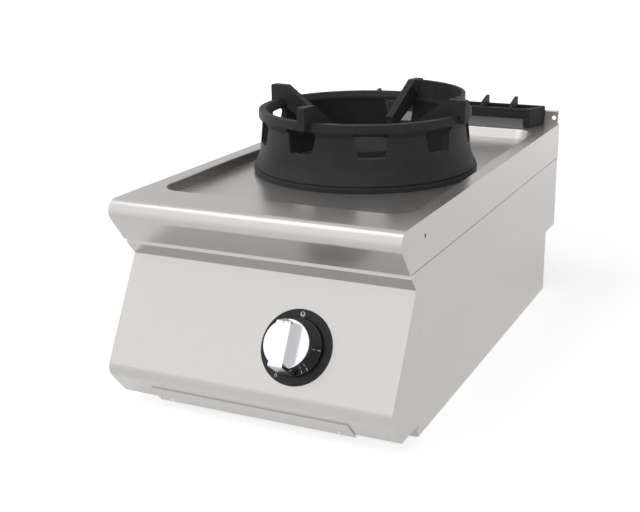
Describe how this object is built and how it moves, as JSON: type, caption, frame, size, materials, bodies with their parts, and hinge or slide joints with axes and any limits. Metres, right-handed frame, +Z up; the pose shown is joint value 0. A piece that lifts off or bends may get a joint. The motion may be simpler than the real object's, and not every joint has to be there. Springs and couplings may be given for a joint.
{
  "type": "wok range",
  "caption": "Countertop gas wok range with a recessed steel worktop, a heavy cast ring with inward arms, a sloping control panel with a knob and a cast flue grate",
  "frame": {"origin": "on the counter, in the middle of the worktop's footprint, in the plane the carcass stands on", "axes": "+X to the right, +Y to the back, +Z up; the control panel faces -Y"},
  "size_m": [0.4, 0.7818, 0.3779],
  "materials": {
    "bezel_black": "satin dark print",
    "brass": "machined brass",
    "cast_iron": "matt black enamelled cast iron",
    "duct_steel": "heat-stained plain steel",
    "galvanised": "plain zinc-coated sheet",
    "knob_black": "glossy black",
    "knob_chrome": "bright plated",
    "pipe_bright": "soft aluminium tube",
    "pipe_steel": "plain steel tube",
    "screw_steel": "bright screw heads",
    "stainless": "satin brushed stainless sheet"
  },
  "bodies": {
    "carcass": {"air_shutter": "galvanised", "back_panel": "galvanised", "back_screws": "screw_steel", "base_plate": "galvanised", "bezel": "bezel_black", "burner_body": "cast_iron", "burner_bracket": "galvanised", "burner_head": "cast_iron", "burner_pipe": "pipe_bright", "burner_tray": "duct_steel", "cover_screws": "screw_steel", "fascia": "stainless", "flue_duct": "duct_steel", "front_rail": "galvanised", "gas_inlet": "pipe_steel", "gas_valve": "brass", "holder_bracket": "galvanised", "injector": "brass", "injector_holder": "brass", "inlet_pipe": "pipe_steel", "lower_cover": "stainless", "mixing_tube": "cast_iron", "pilot_bracket": "galvanised", "pilot_burner": "brass", "pilot_pipe": "pipe_bright", "probe_lead": "pipe_bright", "rear_rail": "galvanised", "rear_upstand": "stainless", "side_panel_left": "stainless", "side_panel_right": "stainless", "thermocouple": "pipe_bright", "valve_bracket": "galvanised", "worktop": "stainless"},
    "wok_ring_set": {"wok_ring": "cast_iron", "wok_arm_right": "cast_iron", "wok_arm_rear": "cast_iron", "wok_arm_left": "cast_iron", "wok_arm_front": "cast_iron"},
    "grate": {"flue_grate": "cast_iron"},
    "cap": {"burner_cap": "cast_iron"},
    "plunger": {"valve_plunger": "brass"},
    "knob": {"knob_cap": "knob_chrome", "knob_skirt": "knob_black", "valve_spindle": "brass"}
  },
  "joints": [
    {"name": "ring_lift", "type": "slide", "parent": "carcass", "child": "wok_ring_set", "axis": [0, 0, 1], "range_m": [0, 0.15]},
    {"name": "grate_lift", "type": "slide", "parent": "carcass", "child": "grate", "axis": [0, 0, 1], "range_m": [0, 0.1]},
    {"name": "cap_lift", "type": "slide", "parent": "carcass", "child": "cap", "axis": [0, 0, 1], "range_m": [0, 0.1]},
    {"name": "knob_push", "type": "slide", "parent": "carcass", "child": "plunger", "axis": [0, 0.8704, -0.4924], "range_m": [0, 0.0025], "stiffness_N_per_m": 1200},
    {"name": "knob_turn", "type": "hinge", "parent": "plunger", "child": "knob", "pos_m": [0.061, -0.36042, 0.11976], "axis": [0, -0.8704, 0.4924], "range_deg": [0, 155]}
  ]
}
